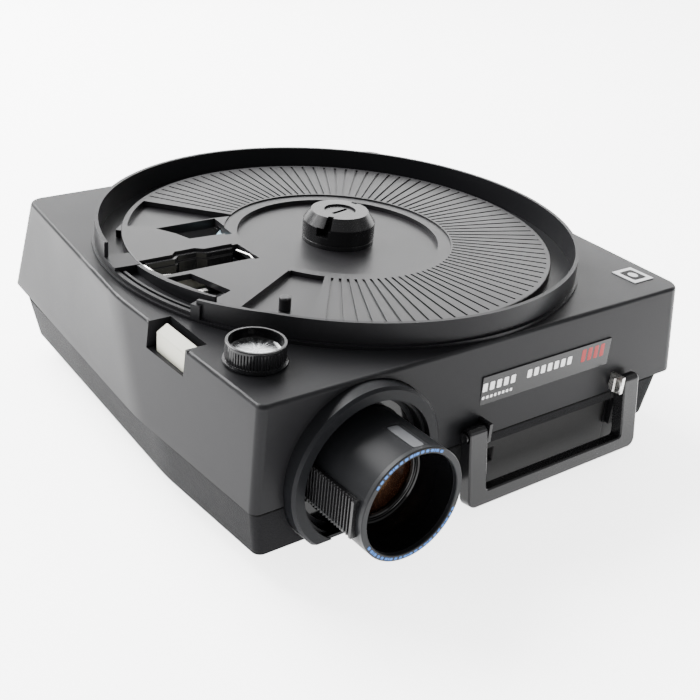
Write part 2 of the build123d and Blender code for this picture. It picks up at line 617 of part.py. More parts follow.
def handle_shape():
    """Three-sided handle, drawn hanging straight down from its pivot."""
    y0, z0 = HANDLE_PIVOT_Y, HANDLE_PIVOT_Z
    low = z0 - HANDLE_DROP
    outer = block(HANDLE_X0, HANDLE_X1, y0 - LEG_T / 2, y0 + LEG_T / 2, low, z0 + 4.2)
    sides = outer.edges().filter_by(Axis.Y)
    outer = fillet(sides.group_by(Axis.Z)[0], 5)
    outer = fillet(outer.edges().filter_by(Axis.X).group_by(Axis.Z)[-1], 3.0)
    inner = block(HANDLE_X0 + LEG_W, HANDLE_X1 - LEG_W, y0 - 9, y0 + 9, low + BAR_H, z0 + 9)
    inner = fillet(inner.edges().filter_by(Axis.Y).group_by(Axis.Z)[0], 2)
    body = outer - inner
    return body - bar_x(y0, z0, HANDLE_X0 - 1, HANDLE_X1 + 1, PIVOT_R + 0.08)


def carry_handle():
    """Handle at rest, swung out by its rest angle."""
    pivot = Axis((0, HANDLE_PIVOT_Y, HANDLE_PIVOT_Z), (-1, 0, 0))
    return handle_shape().rotate(pivot, HANDLE_TILT)


def handle_brackets():
    """Two bright ears that hold the handle's pivots to the front."""
    ears = []
    for x0, x1 in bracket_spans():
        ear = block(x0, x1, HANDLE_PIVOT_Y - 3.4, FRONT_Y - 1.0, HANDLE_PIVOT_Z - 4.4, HANDLE_PIVOT_Z + 5.4)
        ear = ear - bar_x(HANDLE_PIVOT_Y, HANDLE_PIVOT_Z, x0 - 1, x1 + 1, PIVOT_R)
        solid = shell_loft(SEAM_OUT, SEAM_Z, DECK_OUT, DECK_Z, OUT_RADII)
        lower = shell_loft(BASE_LOW, BASE_Z, BASE_TOP, SEAM_Z - SEAM_GAP, OUT_RADII)
        ears.append(ear - solid - lower)
    return ears[0] + ears[1]


def bracket_spans():
    left = HANDLE_X0 + LEG_W + GAP
    right = HANDLE_X1 - LEG_W - GAP
    return [(left, left + 2.0), (right - 2.0, right)]


def pivot_screws():
    """Two screws: one head outside the left leg, one head inside the right ear."""
    (l0, l1), (r0, r1) = bracket_spans()
    y, z = HANDLE_PIVOT_Y, HANDLE_PIVOT_Z
    left = bar_x(y, z, HANDLE_X0 - GAP, l1, PIVOT_R) + bar_x(y, z, HANDLE_X0 - GAP - 0.9, HANDLE_X0 - GAP, 2.6)
    right = bar_x(y, z, r0, HANDLE_X1 - 1, PIVOT_R) + bar_x(y, z, r0 - 1.6, r0, 4)
    left = left - block(HANDLE_X0 - 4, HANDLE_X0 - GAP - 0.5, y - 0.4, y + 0.4, z - 5, z + 5)
    right = right - block(r0 - 3, r0 - 0.9, y - 0.5, y + 0.5, z - 5, z + 5)
    return left + right


def nameplate():
    """Glossy black strip on the front."""
    x0, x1, z0, z1 = PLATE_SPAN
    return block(x0, x1, FRONT_Y - 1.5, FRONT_Y + 0.2, z0, z1)


def badge_plate():
    return block(108.2, 123.4, -118.4, -102.2, DECK_Z, DECK_Z + 0.5)


def chassis_plate():
    """Pressed plate on the base pan's floor."""
    body = block(-112, 108, -49, 106, BASE_Z + WALL, BASE_Z + WALL + 2)
    x0, x1, y0, y1 = HATCH
    body = body - block(x0 - 1, x1 + 1, y0 - 1, y1 + 5, 0, 30)
    for x, y in FEET + [LEVEL_FOOT]:
        body = body - post(x, y, 0, 40, 10)
    body = body - block(30, 75, 19, 60, 0, 30)
    return body


FLOOR = BASE_Z + WALL + 2     # top of the chassis plate


def optics_cradle():
    """Block with a round tunnel that holds the condensers and the heat glass."""
    body = block(AXIS_X - 30, AXIS_X + 30, 20, 64, FLOOR, 70)
    body = body - bar_y(AXIS_X, AXIS_Z, 10, 70, 24)
    body = body - block(AXIS_X - 18, AXIS_X + 18, 26, 58, 60, 75)
    return body


def lamp_bracket():
    """Shelf behind the condensers that carries the lamp socket."""
    return block(AXIS_X - 15, AXIS_X + 15, 64, 98, 20, 22)


def lamp_socket():
    body = block(AXIS_X - 11, AXIS_X + 11, 76, 92, 22, 30)
    return body - post(AXIS_X, 84, 26, 32, 5.0)


def lamp_bulb():
    """Quartz capsule with a domed top."""
    body = post(AXIS_X, 84, 26, 54, 5.0)
    return fillet(body.edges().group_by(Axis.Z)[-1], 4.2)


def lamp_reflector():
    """Shallow mirror bowl behind the lamp, on a foot."""
    shell = Sphere(32) - Sphere(30.8)
    bowl = Pos(AXIS_X, 76, AXIS_Z) * shell & block(AXIS_X - 24, AXIS_X + 24, 98.5, 110, 23.5, 66)
    return bowl + block(AXIS_X - 15, AXIS_X + 15, 98, 101.4, 20, 24.5)


def lamp_hatch():
    """Door in the base pan's floor under the lamp."""
    x0, x1, y0, y1 = HATCH
    body = block(x0 + GAP, x1 - GAP, y0 + GAP, y1 - GAP, BASE_Z, BASE_Z + WALL)
    body = fillet(body.edges().filter_by(Axis.X).sort_by(Axis.Y)[-2:], 1.1)
    body = body - block(x0 + 14, x1 - 14, y0 + 3, y0 + 6, BASE_Z - 1, BASE_Z + 1)
    body = body - bar_x(y1 - 2.0, HATCH_PIN_Z, x0 - 1, x1 + 1, 0.6 + 0.06)
    return body


def hatch_pin():
    x0, x1, y0, y1 = HATCH
    return bar_x(y1 - 2.0, HATCH_PIN_Z, x0, x1, 0.6)


FAN_X, FAN_Y = 35.0, 22.0


def motor_body():
    """Round motor can with a laminated middle."""
    body = post(FAN_X, FAN_Y, FLOOR, 50, 30)
    body = body + ring(20, 33, FLOOR + 8, 42, FAN_X, FAN_Y)
    body = body - post(FAN_X, FAN_Y, FLOOR + 6, 52, 2.5 + RUN_FIT)
    return body


def fan_shaft():
    return post(FAN_X, FAN_Y, FLOOR + 8, 78, 2.5)


def fan_rotor():
    """Squirrel-cage blower wheel."""
    body = post(0, 0, 56, 58, 46) + post(0, 0, 56, 66, 7)
    blades = []
    for i in range(24):
        blades.append(Rot(0, 0, i * 15) * Pos(41.5, 0, 66.5) * Rot(0, 0, 35) * Box(9, 1.2, 18))
    body = body + blades + ring(42, 46, 74, 76)
    body = body - post(0, 0, 50, 80, 2.5)
    return Pos(FAN_X, FAN_Y, 0) * body


def fan_housing():
    """Blower casing on three legs, open towards the lamp."""
    body = ring(50, 52, 50.5, 79, FAN_X, FAN_Y) + ring(9, 52, 50.5, 52.5, FAN_X, FAN_Y)
    for angle in (80, 200, 320):
        x = FAN_X + 47 * math.cos(math.radians(angle))
        y = FAN_Y + 47 * math.sin(math.radians(angle))
        body = body + post(x, y, FLOOR, 51, 3)
    return body - block(FAN_X - 60, FAN_X - 30, FAN_Y - 20, FAN_Y + 25, 54, 77)


CAM_X, CAM_Y = -22.0, -42.0


def cycle_cam():
    """Toothed cam wheel that works the slide lift and the index lever."""
    body = post(0, 0, 30, 35, 19)
    teeth = []
    for i in range(36):
        teeth.append(Rot(0, 0, i * 10) * Pos(19.4, 0, 32.5) * Box(2.2, 1.5, 5))
    body = body + teeth
    body = body + (Pos(5, 0, 0) * post(0, 0, 35, 39, 9))
    body = body - post(0, 0, 20, 50, 3 + RUN_FIT)
    return Pos(CAM_X, CAM_Y, 0) * body


def cam_post():
    return post(CAM_X, CAM_Y, FLOOR, 42, 3) + post(CAM_X, CAM_Y, FLOOR, 29.5, 6)


LIFT_PIVOT_X = -24.0
LIFT_PIVOT_Z = 24.0


def lift_lever():
    """Thin arm that lifts the slide back into the tray."""
    body = block(-90, LIFT_PIVOT_X, -1, 1, 21.5, 26.0)
    body = body + block(-98, -88, -1, 1, 20.0, 23.6)
    hub_disc = Pos(LIFT_PIVOT_X, 0, LIFT_PIVOT_Z) * Rot(90, 0, 0) * Cylinder(5.5, 4)
    body = body + hub_disc
    return body - bar_y(LIFT_PIVOT_X, LIFT_PIVOT_Z, -5, 5, 2 + RUN_FIT)


def lift_bracket():
    """Fork and pin that the lift lever turns on."""
    fork = block(LIFT_PIVOT_X - 5, LIFT_PIVOT_X + 5, -5, -2.6, FLOOR, 30)
    fork = fork + block(LIFT_PIVOT_X - 5, LIFT_PIVOT_X + 5, 2.6, 5, FLOOR, 30)
    fork = fork + block(LIFT_PIVOT_X - 5, LIFT_PIVOT_X + 5, -5, 5, FLOOR, FLOOR + 1.2)
    return fork + bar_y(LIFT_PIVOT_X, LIFT_PIVOT_Z, -4, 4, 2)


INDEX_PIVOT_X, INDEX_PIVOT_Y = -84.0, -30.0


def index_lever():
    """Finger in the deck's opening that steps the tray round by one slide."""
    body = post(INDEX_PIVOT_X, INDEX_PIVOT_Y, 79.5, 82.5, 5)
    body = body + block(-108.5, INDEX_PIVOT_X, -32, -28.5, 79.5, 82.0)
    body = body + block(-107.4, -97.5, -27.4, -24.6, 82.0, 86.5)
    body = body + block(-106.0, -102.5, -32, -24.6, 79.5, 86.5)
    return body - post(INDEX_PIVOT_X, INDEX_PIVOT_Y, 70, 90, 2 + RUN_FIT)


def index_bracket():
    """Plate on the gate frame's front that carries the index lever's pin."""
    body = block(-92, -76, -38, -12.2, 74, 76.5)
    return body + post(INDEX_PIVOT_X, INDEX_PIVOT_Y, 74, 84, 2)


def solenoid():
    """Clutch coil that starts a slide change."""
    body = block(-18, 12, -96, -72, FLOOR - 2, 42)
    return body + bar_x(-84, 30, 12, 20, 4)


def shutter_blade():
    """Dark shutter that slides across the beam, with a small pull tab."""
    body = block(-108, -60, SHUTTER_Y, SHUTTER_Y + 1, SHUTTER_Z0, SHUTTER_Z1)
    return body - bar_y(-64, 45, SHUTTER_Y - 1, SHUTTER_Y + 2, 1.5)


def power_inlet():
    """Three-pin mains inlet on the back."""
    x0, x1, z0, z1 = REAR_HOLES[0]
    body = block(x0, x1, 112, 132.5, z0, z1)
    body = body - block(x0 + 3, x1 - 3, 118, 140, z0 + 3, z1 - 3)
    for x in (x0 + 7, (x0 + x1) / 2, x1 - 7):
        body = body + block(x - 1, x + 1, 117, 128, 51, 57)
    return body


def remote_socket():
    """Round socket for the hand control."""
    x0, x1, z0, z1 = REAR_HOLES[1]
    x, z = (x0 + x1) / 2, (z0 + z1) / 2
    body = block(x0, x1, 116, 135.0, z0, z1)
    body = body - bar_y(x, z, 125, 140, 4.8)
    for angle in range(0, 360, 72):
        dx = 2.6 * math.cos(math.radians(angle))
        dz = 2.6 * math.sin(math.radians(angle))
        body = body + bar_y(x + dx, z + dz, 124, 132, 0.5)
    return body


def switch_frame():
    x0, x1, z0, z1 = REAR_HOLES[2]
    body = block(x0, x1, 118, 136.5, z0, z1)
    body = body - block(x0 + 1.8, x1 - 1.8, 121, 150, z0 + 1.8, z1 - 1.8)
    return body + bar_x(130, (z0 + z1) / 2, x0 + 1, x1 - 1, 1.0)


def power_switch():
    """Rocker, rocking about a pin along X."""
    x0, x1, z0, z1 = REAR_HOLES[2]
    z = (z0 + z1) / 2
    face = make_face(Polyline((126.5, z - 4.6), (135.5, z - 4.6), (138.2, z + 4.6), (127.5, z + 4.6),
                              close=True))
    body = extrude(Plane.YZ * face, x1 - x0 - 5.2)
    body = Pos(x0 + 2.6, 0, 0) * body
    return body - bar_x(130, z, x0, x1, 1.0 + 0.08)


def rubber_feet():
    feet = []
    for x, y in FEET:
        foot = post(x, y, 0, BASE_Z, FOOT_R) + post(x, y, BASE_Z, BASE_Z + WALL, 3.0)
        feet.append(fillet(foot.edges().group_by(Axis.Z)[0], 1.2))
    return feet[0] + feet[1]


def levelling_foot():
    x, y = LEVEL_FOOT
    body = post(x, y, 0, 6, 11) + post(x, y, 6, BASE_Z - GAP, 7.5) + post(x, y, 6, BASE_Z + 14, 5.0)
    return fillet(body.edges().group_by(Axis.Z)[0], 1.2)


def lift_foot():
    """Wide front foot: a plate behind the front wall with a tread along its lower edge."""
    x0, x1 = FOOT_SPAN
    y0 = FOOT_PLATE_Y
    body = block(x0, x1, y0, y0 + 3, 0, 62)
    body = body + block(x0, x1, y0, y0 + 12, 0, 5)
    body = body + block(x0 + 8, x0 + 11, y0, y0 + 12, 0, 30) + block(x1 - 11, x1 - 8, y0, y0 + 12, 0, 30)
    body = fillet(body.edges().filter_by(Axis.X).group_by(Axis.Z)[0], 1.2)
    return body - block(-0.4, 6.0, y0 - 1, y0 + 4, 14.6, 22.6)


def foot_guides():
    """Two channels inside the base that the front foot slides in."""
    x0, x1 = FOOT_SPAN
    y0 = FOOT_PLATE_Y
    guides = []
    for a, b in ((x0 - 3.4, x0 + 2.6), (x1 - 2.6, x1 + 3.4)):
        slot = block(x0 - GAP, x1 + GAP, y0 - GAP, y0 + 3 + GAP, 0, 80)
        guides.append(block(a, b, y0 - 1.2, y0 + 5.4, BASE_Z + 1, 34) - slot)
    return guides


def case_screws():
    heads = []
    for x, y in CASE_SCREWS:
        heads.append(post(x, y, BASE_Z - 1.6, BASE_Z, 3.2) + post(x, y, BASE_Z, BASE_Z + 6, 1.7))
    return heads[0] + heads[1] + heads[2] + heads[3]


def main():
    os.makedirs("parts", exist_ok=True)
    save("top_housing", top_housing())
    save("base_pan", base_pan())
    save("slide_deck", slide_deck())
    save("hub_spindle", hub())
    save("spindle_latch", spindle_latch())
    save("index_peg", index_peg())
    save("pressure_pad", pressure_pad())
    save("gate_frame", gate_frame())
    save("register_plate", register_plate())
    save("gate_spring_outer", gate_spring_outer())
    save("gate_spring_inner", gate_spring_inner())
    save("chute_glass", chute_glass())
    save("lens_bezel", lens_bezel())
    save("lens_carrier", lens_carrier())
    save("lens_barrel", lens_barrel())
    save("lens_front_ring", lens_front_ring())
    save("front_lens_element", glass_disc(LENS_FRONT_Y + 26, BORE_R, 5, 2.4))
    save("rear_lens_element", glass_disc(LENS_FRONT_Y + LENS_LEN - 8, BORE_R, 4, 2.0))
    save("lens_rack", lens_rack())
    save("focus_pinion", focus_pinion())
    save("focus_shaft", focus_shaft())
    save("focus_bearing", focus_bearing())
    save("focus_knob", focus_knob())
    save("focus_knob_insert", knob_insert())
    save("select_bar", select_bar())
    save("select_guide", select_guide())
    save("carry_handle", carry_handle())
    save("handle_brackets", handle_brackets())
    save("handle_pivot_screws", pivot_screws())
    save("nameplate", nameplate())
    save("badge_plate", badge_plate())
    save("chassis_plate", chassis_plate())
    save("optics_cradle", optics_cradle())
    save("condenser_front", glass_disc(28, 24, 4, 2.5))
    save("heat_glass", glass_disc(42, 24, 3, 0))
    save("condenser_rear", glass_disc(56, 24, 4, 2.5))
    save("lamp_bracket", lamp_bracket())
    save("lamp_socket", lamp_socket())
    save("lamp_bulb", lamp_bulb())
    save("lamp_reflector", lamp_reflector())
    save("lamp_hatch", lamp_hatch())
    save("hatch_pin", hatch_pin())
    save("motor_body", motor_body())
    save("fan_shaft", fan_shaft())
    save("fan_rotor", fan_rotor())
    save("fan_housing", fan_housing())
    save("cycle_cam", cycle_cam())
    save("cam_post", cam_post())
    save("lift_lever", lift_lever())
    save("lift_bracket", lift_bracket())
    save("index_lever", index_lever())
    save("index_bracket", index_bracket())
    save("shutter_blade", shutter_blade())
    save("power_inlet", power_inlet())
    save("power_switch", power_switch())
    save("switch_frame", switch_frame())
    save("remote_socket", remote_socket())
    save("rubber_feet", rubber_feet())
    save("levelling_foot", levelling_foot())
    save("lift_foot", lift_foot())


main()
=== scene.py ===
import json
import math

import bmesh
import bpy
import numpy as np
from mathutils import Matrix, Vector


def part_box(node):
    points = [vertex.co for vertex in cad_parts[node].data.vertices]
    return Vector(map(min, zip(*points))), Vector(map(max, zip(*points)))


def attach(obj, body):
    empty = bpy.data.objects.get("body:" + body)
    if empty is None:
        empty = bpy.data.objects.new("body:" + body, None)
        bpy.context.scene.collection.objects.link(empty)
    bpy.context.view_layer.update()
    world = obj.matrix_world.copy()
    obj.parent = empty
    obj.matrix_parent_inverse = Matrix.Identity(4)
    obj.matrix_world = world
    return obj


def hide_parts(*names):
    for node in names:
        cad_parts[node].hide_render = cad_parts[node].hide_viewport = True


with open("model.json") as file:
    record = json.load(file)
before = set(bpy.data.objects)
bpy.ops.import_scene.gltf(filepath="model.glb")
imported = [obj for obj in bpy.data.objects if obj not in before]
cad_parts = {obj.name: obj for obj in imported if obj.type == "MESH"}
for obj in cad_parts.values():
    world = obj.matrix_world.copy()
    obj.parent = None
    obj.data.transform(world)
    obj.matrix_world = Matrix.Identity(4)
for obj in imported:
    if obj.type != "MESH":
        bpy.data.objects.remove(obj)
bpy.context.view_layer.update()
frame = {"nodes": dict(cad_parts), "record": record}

MM = 0.001
CAMERA_TURN = math.radians(-39.64)        # azimuth of the camera, which the floor follows

# Places in metres.
TRAY_Y = 0.0156                           # tray axis, behind the middle of the footprint
PLATE_Z = 0.0900                          # top of the ribbed slide deck
BASE_SEAM_Z = 0.0347                      # seam where the lower shell meets the upper; the base just under it is painted near-black as shade of the groove

# Places in millimetres.
LENS_X, LENS_Z = -83.0, 43.4              # lens axis
LENS_FRONT = TRAY_Y / MM - 170.2          # front face of the lens ring
BAFFLE_Y = TRAY_Y / MM - 130.9            # front of the annulus behind the bezel
KNOB_TOP = 95.6                           # rim of the focus knob


# ---- materials -----------------------------------------------------------------------------

class Finish:
    """A node material under construction, with one Principled shader."""

    def __init__(self, name, colour, rough, metallic=0.0, **sockets):
        self.mat = bpy.data.materials.new(name)
        self.mat.use_nodes = True
        self.tree = self.mat.node_tree
        self.shader = self.tree.nodes["Principled BSDF"]
        self.shader.inputs["Base Color"].default_value = (*colour, 1)
        self.shader.inputs["Roughness"].default_value = rough
        self.shader.inputs["Metallic"].default_value = metallic
        for key, value in sockets.items():
            self.shader.inputs[key.replace("_", " ")].default_value = value
        self.coords = self.node("ShaderNodeTexCoord").outputs["Object"]
        self.bump_out = None

    def node(self, kind, **inputs):
        """A new node with its sockets fed by name."""
        made = self.tree.nodes.new(kind)
        for key, value in inputs.items():
            self.feed(made.inputs[key.replace("_", " ")], value)
        return made

    def feed(self, socket, value):
        """Links a socket to an output, or sets it to a plain value."""
        if isinstance(value, bpy.types.NodeSocket):
            self.tree.links.new(value, socket)
        else:
            socket.default_value = value

    def math(self, kind, a, b=0.0, clamp=False):
        made = self.tree.nodes.new("ShaderNodeMath")
        made.operation = kind
        made.use_clamp = clamp
        self.feed(made.inputs[0], a)
        self.feed(made.inputs[1], b)
        return made.outputs[0]

    def noise(self, scale, detail=3.0, rough=0.5):
        """Smooth noise, whose scale is in cells per metre."""
        return self.node("ShaderNodeTexNoise", Vector=self.coords, Scale=scale, Detail=detail,
                         Roughness=rough).outputs["Fac"]

    def cells(self, scale, feature="F1"):
        """Distance inside Voronoi cells, whose scale is in cells per metre."""
        made = self.node("ShaderNodeTexVoronoi", Vector=self.coords, Scale=scale)
        made.feature = feature
        return made.outputs["Distance"]

    def from_centre(self, kind, centre):
        """Place measured from a centre: SUBTRACT gives the arrow, and DISTANCE its length."""
        made = self.node("ShaderNodeVectorMath")
        made.operation = kind
        self.feed(made.inputs[0], self.coords)
        made.inputs[1].default_value = centre
        return made.outputs["Value" if kind == "DISTANCE" else "Vector"]

    def span(self, value, low, high, to_low=0.0, to_high=1.0):
        """Straight ramp: low gives to_low, high gives to_high, and it is held level past both."""
        limits = {"From_Min": low, "From_Max": high, "To_Min": to_low, "To_Max": to_high}
        return self.node("ShaderNodeMapRange", Value=value, **limits).outputs["Result"]

    def blend(self, factor, a, b):
        """Colour a where the factor is 0, and b where it is 1."""
        made = self.tree.nodes.new("ShaderNodeMix")
        made.data_type = "RGBA"
        self.feed(made.inputs["Factor"], factor)
        self.feed(made.inputs["A"], a if isinstance(a, bpy.types.NodeSocket) else (*a, 1))
        self.feed(made.inputs["B"], b if isinstance(b, bpy.types.NodeSocket) else (*b, 1))
        return made.outputs["Result"]

    def bump(self, height, strength, distance):
        """Relief on top of any that the finish already has. The distance is its height in metres."""
        made = self.node("ShaderNodeBump", Height=height, Strength=strength, Distance=distance)
        if self.bump_out is not None:
            self.feed(made.inputs["Normal"], self.bump_out)
        self.bump_out = made.outputs["Normal"]
        self.feed(self.shader.inputs["Normal"], self.bump_out)
        return self

    def colour(self, socket):
        self.feed(self.shader.inputs["Base Color"], socket)
        return self

    def rough(self, socket):
        self.feed(self.shader.inputs["Roughness"], socket)
        return self


def moulded(name, dark, light, rough, grain, depth, pebble=0.0, pebble_depth=0.0, dust=0.0, gloss=0.2,
            seam=None):
    """Moulded plastic: fine spark texture and slight handling variation between two close tones.
    Optional are a leather pebble, specks of dust, and painted shade: a near-black stretch above a seam
    height, standing in for the shaded groove."""
    f = Finish(name, dark, rough, Specular_IOR_Level=gloss)
    cloudy = f.noise(9.0, 4.0, 0.6)
    fine = f.noise(grain, 2.0, 0.6)
    tone = f.blend(f.span(cloudy, 0.35, 0.7), dark, light)
    if dust > 0:
        specks = f.span(f.cells(420.0), 0.0, 0.05, 1.0, 0.0)
        rare = f.math("MULTIPLY", specks, f.span(f.noise(60.0), 0.66, 0.72))
        tone = f.blend(f.math("MULTIPLY", rare, dust), tone, (0.32, 0.31, 0.30))
    if seam is not None:
        # Painted shade: near-black from just under the seam height upwards, for the shaded groove between
        # the shells.
        height = f.node("ShaderNodeSeparateXYZ", Vector=f.coords).outputs["Z"]
        tone = f.blend(f.span(height, seam - 0.9 * MM, seam - 0.5 * MM), tone, (0.0004, 0.0004, 0.0004))
    f.colour(tone)
    f.rough(f.math("ADD", f.span(cloudy, 0.3, 0.7, rough - 0.05, rough + 0.05),
                   f.span(fine, 0.3, 0.7, -0.02, 0.02)))
    if pebble > 0:
        hide = f.span(f.cells(pebble, "DISTANCE_TO_EDGE"), 0.0, 0.22)
        f.bump(hide, 0.75, pebble_depth)
    f.bump(fine, 0.35, depth)
    return f.mat


def worn_metal(name, colour, rough):
    """Bright metal with fine brushing and faint tarnish."""
    f = Finish(name, colour, rough, 1.0)
    brushing = f.noise(900.0)
    tarnish = f.noise(140.0, 4.0)
    f.colour(f.blend(f.span(tarnish, 0.4, 0.75), colour, tuple(c * 0.72 for c in colour)))
    f.rough(f.span(brushing, 0.3, 0.7, rough - 0.06, rough + 0.1))
    f.bump(brushing, 0.3, 0.00002)
    return f.mat


def lens_glass(name, tint, coat):
    """Polished glass with a coloured coating: tinted transmission and a strong clear gloss."""
    f = Finish(name, tint, 0.02, Transmission_Weight=0.85, IOR=1.52, Coat_Weight=1.0,
               Coat_Roughness=0.01, Coat_Tint=(*coat, 1))
    f.colour(f.blend(f.span(f.noise(40.0), 0.4, 0.6), tint, tuple(c * 0.85 for c in tint)))
    return f.mat


def radial_metal(name, centre, colour, rough):
    """Metal whose colour is painted with dark and bright rays out from its centre, a painted reflection of
    radial facets; its roughness varies along the same rays.
    """
    f = Finish(name, colour, rough, 1.0)
    ray = f.node("ShaderNodeVectorMath")
    ray.operation = "NORMALIZE"
    f.feed(ray.inputs[0], f.from_centre("SUBTRACT", centre))
    painted_rays_and_streaks = f.node("ShaderNodeTexNoise", Vector=ray.outputs[0], Scale=4.5, Detail=5.0,
                     Roughness=0.7).outputs["Fac"]
    # Painted reflection: the colour runs from 0.35 of its value to all of it along the rays.
    f.colour(f.blend(f.span(painted_rays_and_streaks, 0.38, 0.62), tuple(c * 0.35 for c in colour), colour))
    f.rough(f.span(painted_rays_and_streaks, 0.3, 0.7, rough - 0.05, rough + 0.12))
    return f.mat


def coated_lens(name, centre, edge, middle, inner):
    """Dark glossy glass with an amber coat. Its colour holds a painted reflection: a lighter disc of 10 mm,
    and outside it a tone that darkens outwards.
    """
    f = Finish(name, edge, 0.12, Specular_IOR_Level=0.5, Coat_Weight=1.0, Coat_Roughness=0.02,
               Coat_Tint=(1.0, 0.72, 0.5, 1))
    # Painted reflection: a lighter disc in the middle and a tone darkening outwards.
    away = f.from_centre("DISTANCE", centre)
    outside = f.blend(f.span(away, 0.0060, 0.0160), inner, edge)
    f.colour(f.blend(f.span(away, 0.0100, 0.0106), middle, outside))
    return f.mat


SHELL = moulded("shell_spark_texture", (0.0066, 0.0066, 0.0074), (0.0086, 0.0086, 0.0094), 0.36,
                1500.0, 0.00003, dust=0.25, gloss=0.07)
# The base carries painted shade: near-black just under the seam, for the shaded groove.
BASE = moulded("base_leather_grain", (0.0056, 0.0056, 0.0062), (0.0074, 0.0074, 0.0080), 0.5,
               1500.0, 0.00003, pebble=900.0, pebble_depth=0.00009, gloss=0.02, seam=BASE_SEAM_Z)
DECK = moulded("deck_satin", (0.0095, 0.0092, 0.0100), (0.0115, 0.0112, 0.0122), 0.35,
               1600.0, 0.00002, dust=0.2, gloss=0.14)
BLACK = moulded("black_smooth", (0.0060, 0.0060, 0.0066), (0.0080, 0.0080, 0.0086), 0.26,
                1800.0, 0.00001, dust=0.2)
BARREL = moulded("barrel_satin_black", (0.0058, 0.0061, 0.0070), (0.0076, 0.0079, 0.0088), 0.38,
                 1700.0, 0.00001, dust=0.3, gloss=0.06)
RINGFACE = moulded("ring_satin", (0.0085, 0.0090, 0.0100), (0.0110, 0.0115, 0.0126), 0.36,
                   1700.0, 0.00001, gloss=0.10)
BORE = moulded("bore_gloss_black", (0.0018, 0.0018, 0.0021), (0.0026, 0.0026, 0.0029), 0.10,
               1800.0, 0.000004)
CREAM = moulded("cream_moulding", (0.34, 0.34, 0.29), (0.40, 0.39, 0.33), 0.42, 1200.0, 0.00002)
GREY = moulded("inner_grey", (0.012, 0.012, 0.013), (0.018, 0.018, 0.019), 0.5, 1200.0, 0.00003)
RUBBER = moulded("foot_rubber", (0.008, 0.008, 0.008), (0.012, 0.012, 0.012), 0.75, 900.0, 0.00005)
GLOSS = moulded("plate_gloss_black", (0.0050, 0.0050, 0.0056), (0.0064, 0.0064, 0.0070), 0.16,
                1800.0, 0.000005, dust=0.2)
STRIP = moulded("pale_strip", (0.05, 0.052, 0.056), (0.065, 0.067, 0.072), 0.30, 1500.0, 0.00001)
LABEL = moulded("badge_label", (0.34, 0.34, 0.35), (0.40, 0.40, 0.41), 0.32, 1500.0, 0.000005)
ICE = moulded("chute_window", (0.30, 0.44, 0.50), (0.34, 0.48, 0.54), 0.18, 1500.0, 0.000004)

INK_WHITE = moulded("printed_white", (0.62, 0.62, 0.62), (0.70, 0.70, 0.70), 0.45, 1500.0, 0.000004)
INK_RED = moulded("printed_red", (0.20, 0.006, 0.008), (0.26, 0.009, 0.011), 0.45, 1500.0, 0.000004)
INK_BLUE = moulded("printed_blue", (0.012, 0.10, 0.36), (0.018, 0.13, 0.42), 0.45, 1500.0, 0.000004)
INK_DARK = moulded("printed_black", (0.003, 0.003, 0.003), (0.004, 0.004, 0.004), 0.5,
                   1500.0, 0.000004, gloss=0.05)

STEEL = worn_metal("bright_steel", (0.62, 0.61, 0.59), 0.28)
ZINC = worn_metal("plated_sheet", (0.30, 0.30, 0.31), 0.40)
COPPER = worn_metal("wound_copper", (0.56, 0.30, 0.16), 0.40)
SPUN = worn_metal("spun_aluminium", (0.86, 0.86, 0.87), 0.22)
MIRROR = worn_metal("polished_bowl", (0.86, 0.85, 0.84), 0.06)

CLEAR = lens_glass("clear_glass", (0.88, 0.92, 0.93), (0.8, 0.85, 1.0))
HEAT = lens_glass("heat_glass", (0.62, 0.84, 0.86), (0.8, 1.0, 1.0))

NODE_FINISH = {
    "top_housing": SHELL, "base_pan": BASE, "slide_deck": DECK, "hub_spindle": BLACK,
    "spindle_latch": BLACK, "index_peg": DECK, "pressure_pad": BLACK, "gate_frame": ZINC,
    "register_plate": CREAM, "gate_spring_outer": STEEL, "gate_spring_inner": STEEL, "chute_glass": ICE,
    "lens_bezel": BARREL, "lens_carrier": GREY, "lens_barrel": BARREL, "lens_front_ring": RINGFACE,
    "front_lens_element": CLEAR, "rear_lens_element": CLEAR, "lens_rack": BLACK, "focus_pinion": GREY,
    "focus_shaft": STEEL, "focus_bearing": GREY, "focus_knob": GLOSS, "focus_knob_insert": SPUN,
    "select_bar": CREAM, "select_guide": GREY, "carry_handle": BLACK, "handle_brackets": STEEL,
    "handle_pivot_screws": STEEL, "nameplate": GLOSS, "badge_plate": LABEL, "chassis_plate": ZINC,
    "optics_cradle": GREY, "condenser_front": CLEAR, "heat_glass": HEAT, "condenser_rear": CLEAR,
    "lamp_bracket": ZINC, "lamp_socket": CREAM, "lamp_bulb": CLEAR, "lamp_reflector": MIRROR,
    "lamp_hatch": BASE, "hatch_pin": STEEL, "motor_body": COPPER, "fan_shaft": STEEL, "fan_rotor": GREY,
    "fan_housing": GREY, "cycle_cam": GREY, "cam_post": STEEL, "lift_lever": STEEL, "lift_bracket": ZINC,
    "index_lever": STEEL, "index_bracket": ZINC, "shutter_blade": ZINC, "power_inlet": BLACK,
    "power_switch": BLACK, "switch_frame": BLACK, "remote_socket": BLACK, "rubber_feet": RUBBER,
    "levelling_foot": RUBBER, "lift_foot": RUBBER,
}
BODY_OF = {node: body for body, nodes in frame["record"]["behaviour"]["bodies"].items() for node in nodes}

for node, finish in NODE_FINISH.items():
    mesh = frame["nodes"][node].data
    mesh.materials.clear()
    mesh.materials.append(finish)


# ---- mesh helpers --------------------------------------------------------------------------

def finish_piece(name, mesh, finish, node, replaced=(), smooth=math.radians(35)):
    """Makes an object at the origin from a mesh, riding on its node's body."""
    mesh.materials.clear()
    mesh.materials.append(finish)
    mesh.shade_smooth()
    mesh.set_sharp_from_angle(angle=smooth)
    piece = bpy.data.objects.new(name, mesh)
    bpy.context.scene.collection.objects.link(piece)
    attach(piece, BODY_OF[node])
    if replaced:
        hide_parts(*replaced)
    return piece


